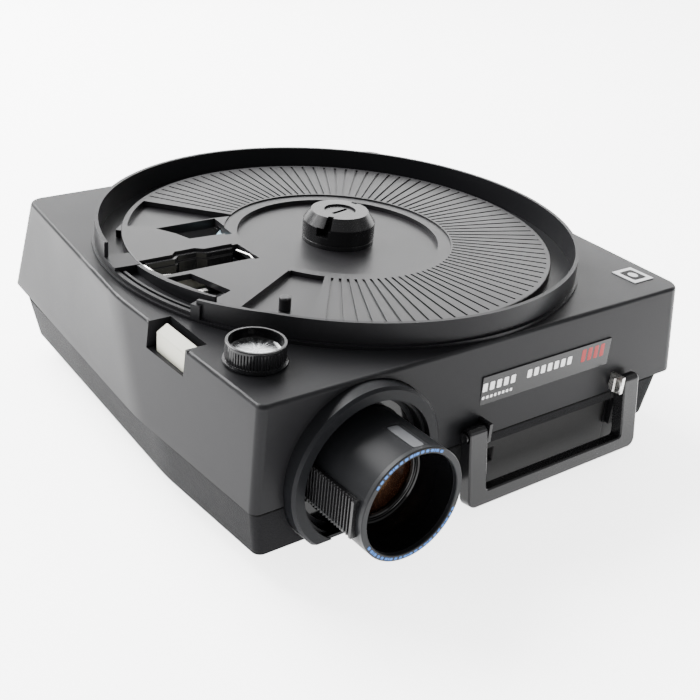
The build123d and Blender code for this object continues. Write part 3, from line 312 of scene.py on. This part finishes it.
def softened(node, width, finish=None, segments=2, angle=28, side=None, name=None, merge=True):
    """A copy of a node with its triangles merged into flats, unless merge is false, and its edges
    rounded by a bevel. A side of -1 or 1 keeps only what lies left or right of the node's middle."""
    source = frame["nodes"][node]
    bm = bmesh.new()
    bm.from_mesh(source.data)
    bmesh.ops.remove_doubles(bm, verts=bm.verts, dist=2e-6)
    if side is not None:
        low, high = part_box(node)
        middle = (low[0] + high[0]) / 2
        away = [v for v in bm.verts if (v.co.x - middle) * side < 0]
        bmesh.ops.delete(bm, geom=away, context="VERTS")
    if merge:
        bmesh.ops.dissolve_limit(bm, angle_limit=math.radians(0.6), verts=bm.verts, edges=bm.edges)
    name = name or node + "_soft"
    mesh = bpy.data.meshes.new(name)
    bm.to_mesh(mesh)
    bm.free()
    piece = finish_piece(name, mesh, finish or NODE_FINISH[node], node, (node,))
    bevel = piece.modifiers.new("edge_radius", "BEVEL")
    bevel.width = width
    bevel.segments = segments
    bevel.limit_method = "ANGLE"
    bevel.angle_limit = math.radians(angle)
    bevel.miter_outer = "MITER_ARC"
    even = piece.modifiers.new("flat_faces", "WEIGHTED_NORMAL")
    even.weight = 90
    even.keep_sharp = True
    return piece


def quads(rows, columns):
    """Quads between neighbouring rows of a grid whose columns close into a ring."""
    i, j = np.meshgrid(np.arange(rows - 1), np.arange(columns), indexing="ij")
    k = (j + 1) % columns
    return np.stack([i * columns + j, i * columns + k, (i + 1) * columns + k, (i + 1) * columns + j],
                    -1).reshape(-1, 4)


def closed_mesh(name, verts, faces):
    """A mesh from arrays, its doubles merged and its faces turned outwards."""
    mesh = bpy.data.meshes.new(name)
    mesh.from_pydata(verts.tolist(), [], faces if isinstance(faces, list) else faces.tolist())
    bm = bmesh.new()
    bm.from_mesh(mesh)
    bmesh.ops.remove_doubles(bm, verts=bm.verts, dist=1e-7)
    bmesh.ops.recalc_face_normals(bm, faces=bm.faces)
    bm.to_mesh(mesh)
    bm.free()
    return mesh


def turned(name, profile, centre, axis, finish, node, replaced=(), steps=128, smooth=30):
    """A closed profile of (radius, distance) pairs carried once round an axis:
    point = centre + distance * axis + radius * (cos a * u + sin a * v)."""
    profile = np.array(profile, float)
    w = np.array(axis, float)
    u = np.cross(w, (0.31, 0.52, 0.79))
    u /= np.linalg.norm(u)
    v = np.cross(w, u)
    a = np.linspace(0, 2 * math.pi, steps, endpoint=False)[None, :, None]
    r, d = profile[:, 0][:, None, None], profile[:, 1][:, None, None]
    points = np.array(centre, float) + d * w + r * (np.cos(a) * u + np.sin(a) * v)
    mesh = closed_mesh(name, points.reshape(-1, 3) * MM, quads(len(profile), steps))
    return finish_piece(name, mesh, finish, node, replaced, math.radians(smooth))


def pads(name, middles, halves_u, halves_v, height, finish, node, power=4.0, steps=20):
    """Low printed or stuck-on pads. Each is a superellipse |x/a|^p + |y/b|^p = 1 on its own u, v axes,
    raised by the height vector, its top a touch smaller than its foot."""
    middles, hu, hv, up = (np.array(given, float)[:, None, None, :]
                           for given in (middles, halves_u, halves_v, height))
    a = np.linspace(0, 2 * math.pi, steps, endpoint=False)
    c, t = np.cos(a), np.sin(a)
    x = (np.sign(c) * np.abs(c) ** (2 / power))[None, None, :, None]
    y = (np.sign(t) * np.abs(t) ** (2 / power))[None, None, :, None]
    size = np.array([1.0, 1.0, 0.97, 0.90])[None, :, None, None]
    lift = np.array([-0.6, 0.6, 0.9, 1.0])[None, :, None, None]
    points = middles + size * (x * hu + y * hv) + lift * up
    count, rows = len(points), len(size[0])
    faces = [f for n in range(count) for f in (quads(rows, steps) + n * rows * steps).tolist()]
    for n in range(count):
        foot = n * rows * steps
        top = foot + (rows - 1) * steps
        faces += [list(range(foot, foot + steps)), list(range(top, top + steps))]
    mesh = closed_mesh(name, points.reshape(-1, 3) * MM, faces)
    return finish_piece(name, mesh, finish, node, (), math.radians(40))


# ---- camera, floor and lights --------------------------------------------------------------

def set_camera():
    """Camera at the viewing angle: azimuth, elevation and roll, with a 57 mm lens."""
    azimuth, elevation, roll = CAMERA_TURN, math.radians(26.78), math.radians(5.35)
    place = Vector((-0.3536, -0.4463 + TRAY_Y, 0.2170 + PLATE_Z))
    forward = Vector((-math.sin(azimuth) * math.cos(elevation), math.cos(azimuth) * math.cos(elevation),
                      -math.sin(elevation)))
    right = forward.cross(Vector((0, 0, 1))).normalized()
    up = right.cross(forward)
    across = math.cos(roll) * right + math.sin(roll) * up
    above = -math.sin(roll) * right + math.cos(roll) * up
    data = bpy.data.cameras.new("camera")
    data.lens = 57.39
    data.sensor_width = 36.0
    data.clip_start = 0.01
    camera = bpy.data.objects.new("camera", data)
    camera.matrix_world = Matrix(((across.x, above.x, -forward.x, place.x),
                                  (across.y, above.y, -forward.y, place.y),
                                  (across.z, above.z, -forward.z, place.z), (0, 0, 0, 1)))
    bpy.context.scene.collection.objects.link(camera)
    bpy.context.scene.camera = camera


def set_floor():
    """A pale sweep, in metres: a flat floor, a quarter circle and an upright backdrop, carried sideways.
    The quarter circle is distance = flat + bend * sin t, height = bend * (1 - cos t)."""
    near, flat, bend, top, half_width = -3.0, 2.6, 1.2, 4.0, 5.0
    t = np.linspace(0, math.pi / 2, 41)
    profile = np.concatenate([[(near, 0.0)], np.stack([flat + bend * np.sin(t), bend * (1 - np.cos(t))], -1),
                              [(flat + bend, top)]])
    ahead = np.array([-math.sin(CAMERA_TURN), math.cos(CAMERA_TURN), 0])
    side = half_width * np.array([ahead[1], -ahead[0], 0])
    middle = profile[:, :1] * ahead + profile[:, 1:] * np.array([0, 0, 1])
    verts = np.stack([middle - side, middle + side], 1).reshape(-1, 3)
    faces = [(2 * i, 2 * i + 1, 2 * i + 3, 2 * i + 2) for i in range(len(profile) - 1)]
    mesh = bpy.data.meshes.new("floor")
    mesh.from_pydata(verts.tolist(), [], faces)
    mesh.shade_smooth()
    f = Finish("pale_floor", (0.93, 0.93, 0.93), 0.6, Specular_IOR_Level=0.2,
               Emission_Color=(1, 1, 1, 1), Emission_Strength=3.4)
    f.rough(f.span(f.noise(6.0), 0.3, 0.7, 0.55, 0.65))
    mesh.materials.append(f.mat)
    floor = bpy.data.objects.new("floor", mesh)
    bpy.context.scene.collection.objects.link(floor)


def area_light(name, place, size, power):
    """A rectangular white lamp that points at the object. Place and size are in metres, power in watts."""
    look_at = (0, 0, 0.05)
    data = bpy.data.lights.new(name, "AREA")
    data.shape = "RECTANGLE"
    data.size, data.size_y = size
    data.energy = power
    lamp = bpy.data.objects.new(name, data)
    lamp.location = place
    lamp.rotation_euler = (Vector(look_at) - Vector(place)).to_track_quat("-Z", "Y").to_euler()
    bpy.context.scene.collection.objects.link(lamp)


def set_lights():
    """An even white surround, a large lamp above and behind, one at the left and a weak one in front."""
    world = bpy.data.worlds.new("studio")
    bpy.context.scene.world = world
    world.use_nodes = True
    sky = world.node_tree.nodes["Background"]
    sky.inputs["Color"].default_value = (1, 1, 1, 1)
    sky.inputs["Strength"].default_value = 0.8
    area_light("key_overhead", (-0.35, 1.25, 1.25), (1.3, 0.8), 135)
    area_light("left_panel", (-1.4, 0.6, 0.8), (0.9, 0.9), 24)
    area_light("front_fill", (0.9, -1.7, 1.0), (1.2, 0.9), 6)


# ---- detailed pieces -----------------------------------------------------------------------

def build_lens():
    """Front ring, glossy bore with stepped rings, coated front glass, printed ticks and index strip."""
    at, back = (LENS_X, LENS_FRONT, LENS_Z), (0, 1, 0)
    ring = [(24.2, 0.5), (24.5, 0.12), (26.8, 0.1), (27.2, 0.5), (27.2, 2.39), (24.2, 2.39), (24.2, 0.5)]
    turned("printed_ring", ring, at, back, RINGFACE, "lens_front_ring", ("lens_front_ring",))
    liner = [(24.08, 2.5), (20.95, 20.8), (20.2, 21.2), (20.2, 21.9), (19.7, 22.1), (19.7, 22.8),
             (19.2, 23.0), (19.2, 23.6), (20.9, 23.6), (20.98, 21.4), (24.16, 2.5), (24.08, 2.5)]
    turned("bore_liner", liner, at, back, BORE, "lens_barrel")
    retainer = [(18.9, 22.0), (18.6, 21.7), (18.1, 22.0), (18.1, 23.4), (18.9, 23.4), (18.9, 22.0)]
    turned("retaining_ring", retainer, at, back, GLOSS, "lens_barrel")
    build_front_glass(at, back)
    build_ring_ticks(np.array(at))
    build_index_strip()


def build_front_glass(at, back):
    """Domed glass: depth = edge depth - crown * (1 - (r / radius)^2), closed by a flat back."""
    radius, edge_depth, crown, back_depth = 20.9, 25.0, 1.9, 29.5
    dome = [(r, edge_depth - crown * (1 - (r / radius) ** 2)) for r in np.linspace(0, radius, 24)]
    dome += [(radius, back_depth), (0.0, back_depth)]
    # The lighter disc is a painted reflection, its centre shifted off the axis.
    disc = ((LENS_X - 2.6) * MM, (LENS_FRONT + 24) * MM, (LENS_Z + 2.0) * MM)
    glass = coated_lens("amber_coated_glass", disc, (0.014, 0.0080, 0.0062), (0.062, 0.048, 0.035),
                        (0.036, 0.024, 0.018))
    turned("front_glass", dome, at, back, glass, "front_lens_element", ("front_lens_element",))


def build_ring_ticks(at):
    """Blue ticks in two bands round the ring's face, as a generic printed scale. Angles are in degrees.
    Those on half degrees are short."""
    mean_radius, half_radial, half_long, half_short = 25.75, 0.62, 0.86, 0.34
    upper = [62, 68, 71.5, 75, 81, 87, 93, 96.5, 100, 106, 112, 118, 121.5, 125, 131, 137, 143]
    lower = [212, 218, 221.5, 225, 231, 237, 243, 246.5, 250, 256, 262, 268, 271.5, 275, 281, 287, 293,
             296.5, 300, 306, 312, 318, 321.5, 325, 331, 337]
    degrees = np.array(upper + lower, float)
    a = np.radians(degrees)
    out = np.stack([np.cos(a), 0 * a, np.sin(a)], -1)
    along = np.stack([-np.sin(a), 0 * a, np.cos(a)], -1)
    length = np.where(degrees % 1 > 0, half_short, half_long)[:, None]
    pads("ring_ticks", at + out * mean_radius + np.array([0, 0.1, 0]), along * length, out * half_radial,
         np.tile([0, -0.05, 0], (len(a), 1)), INK_BLUE, "lens_front_ring")


def build_index_strip():
    """Pale strip along the top of the lens tube, turned 4 degrees to the right of upright."""
    tilt = math.radians(4)
    normal = np.array([math.sin(tilt), 0, math.cos(tilt)])
    across = np.array([math.cos(tilt), 0, -math.sin(tilt)])
    middle = np.array([LENS_X, LENS_FRONT + 12.0, LENS_Z]) + normal * 26.72
    pads("barrel_index_strip", [middle], [across * 3.0], [[0, 8.9, 0]], [normal * 0.12], STRIP,
         "lens_barrel", 10)


def build_baffle():
    """Dark annulus behind the bezel that closes the gap round the lens tube. Its bore is widened where the
    focus rack passes: bore radius = tube + widening * clip((reach - angle from the rack) / ramp, 0, 1)."""
    steps, tube, widening, reach, ramp, rim, thick = 144, 27.6, 3.5, 27, 4, 31.3, 1.0
    a = np.linspace(0, 2 * math.pi, steps, endpoint=False)
    from_rack = np.abs(np.degrees(np.angle(np.exp(1j * (a - math.pi)))))
    inner = tube + widening * np.clip((reach - from_rack) / ramp, 0, 1)
    outer = np.full(steps, rim)
    radii = np.stack([inner, outer, outer, inner, inner])
    depth = BAFFLE_Y + thick * np.array([0, 0, 1, 1, 0])[:, None]
    points = np.stack([LENS_X + radii * np.cos(a), depth + 0 * radii, LENS_Z + radii * np.sin(a)], -1)
    mesh = closed_mesh("lens_gap_baffle", points.reshape(-1, 3) * MM, quads(len(radii), steps))
    finish_piece("lens_gap_baffle", mesh, BORE, "lens_bezel")


def build_knob():
    """Glossy liner in the focus knob's cup, and a rayed disc: depth = floor + dish * (r / radius)^2."""
    low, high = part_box("focus_knob")
    x, y = (low[0] + high[0]) / 2 / MM, (low[1] + high[1]) / 2 / MM
    at, up = (x, y, KNOB_TOP), (0, 0, 1)
    liner = [(11.92, -0.5), (11.55, -4.3), (11.3, -4.7), (11.98, -4.9), (11.98, -0.5), (11.92, -0.5)]
    turned("knob_cup_liner", liner, at, up, BORE, "focus_knob_insert")
    rayed = radial_metal("rayed_disc", (x * MM, y * MM, (KNOB_TOP - 4.6) * MM), (0.58, 0.59, 0.60), 0.18)
    radius, floor, dish, back = 11.2, -4.95, 0.55, -5.15
    disc = [(r, floor + dish * (r / radius) ** 2) for r in np.linspace(0, radius, 16)]
    disc += [(radius, back), (0.0, back)]
    turned("knob_rayed_disc", disc, at, up, rayed, "focus_knob_insert", ("focus_knob_insert",))


def build_bars(name, bars, finish):
    """Flat bars printed on the nameplate, each given as middle x, middle z, half width, half height."""
    x, z, half_wide, half_high = np.array(bars, float).T
    none = np.zeros(len(bars))
    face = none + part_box("nameplate")[0][1] / MM
    across, upright, out = (half_wide, none, none), (none, none, half_high), (none, none - 0.05, none)
    places = np.stack([x, face, z], -1)
    pads(name, places, np.stack(across, -1), np.stack(upright, -1), np.stack(out, -1), finish,
         "nameplate", 8)


def build_front_marks():
    """Generic pale and red bars in rows on the nameplate."""
    pale = [(-11.0 + 4.6 * i, 62.2, 1.5, 2.2) for i in range(5)]
    pale += [(-11.3 + 2.6 * i, 56.6, 0.8, 0.8) for i in range(8)]
    pale += [(18.5 + 4.7 * i, 62.2, 1.5, 2.2) for i in range(7)]
    build_bars("nameplate_pale_bars", pale, INK_WHITE)
    build_bars("nameplate_red_bars", [(57.0 + 4.6 * i, 62.4, 1.5, 3.6) for i in range(4)], INK_RED)


def build_badge_marks():
    """A dark field on the badge with a plain pale dot on it."""
    low, high = (np.array(corner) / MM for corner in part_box("badge_plate"))
    x, y, z = (low[0] + high[0]) / 2, (low[1] + high[1]) / 2, high[2]
    pads("badge_field", [[x, y, z]], [[5.0, 0, 0]], [[0, 5.6, 0]], [[0, 0, 0.03]], INK_DARK,
         "badge_plate", 8)
    pads("badge_dot", [[x, y, z + 0.02]], [[2.6, 0, 0]], [[0, 2.9, 0]], [[0, 0, 0.04]], LABEL,
         "badge_plate", 2)


def build_foot_cheek():
    """Plain cheek that closes the gap beside the right end of the wide front foot."""
    pads("foot_end_cheek", [[95.4, -112.6, 6.3]], [[5.8, 0, 0]], [[0, 0, 5.9]], [[0, -1.4, 0]], RUBBER,
         "lift_foot", 8)


# Width of the rounding on each node's edges, in millimetres.
ROUNDED = {
    "top_housing": 0.9, "hub_spindle": 0.45, "spindle_latch": 0.25, "index_peg": 0.35, "pressure_pad": 0.3,
    "gate_frame": 0.12, "register_plate": 0.2, "lens_bezel": 0.45, "lens_barrel": 0.18, "lens_rack": 0.16,
    "focus_knob": 0.12, "select_bar": 0.35, "carry_handle": 0.9, "nameplate": 0.3, "badge_plate": 0.12,
    "lamp_hatch": 0.4, "rubber_feet": 0.5, "levelling_foot": 0.4, "lift_foot": 0.5, "power_inlet": 0.3,
    "power_switch": 0.3, "switch_frame": 0.3, "remote_socket": 0.3,
}
UNMERGED = ("top_housing",)               # its triangles stay as they are under the bevel


def build_rounded():
    """Every node with softened edges. The handle's brackets and screws differ in finish left and right."""
    for node, width in ROUNDED.items():
        softened(node, width * MM, merge=node not in UNMERGED)
    softened("handle_brackets", 0.3 * MM, BLACK, side=-1, name="bracket_left")
    softened("handle_brackets", 0.3 * MM, STEEL, side=1, name="bracket_right")
    softened("handle_pivot_screws", 0.2 * MM, GLOSS, side=-1, name="pivot_screw_left")
    softened("handle_pivot_screws", 0.2 * MM, STEEL, side=1, name="pivot_screw_right")


# ---- the scene -----------------------------------------------------------------------------

set_camera()
set_floor()
set_lights()
build_rounded()
build_lens()
build_baffle()
build_knob()
build_front_marks()
build_badge_marks()
build_foot_cheek()
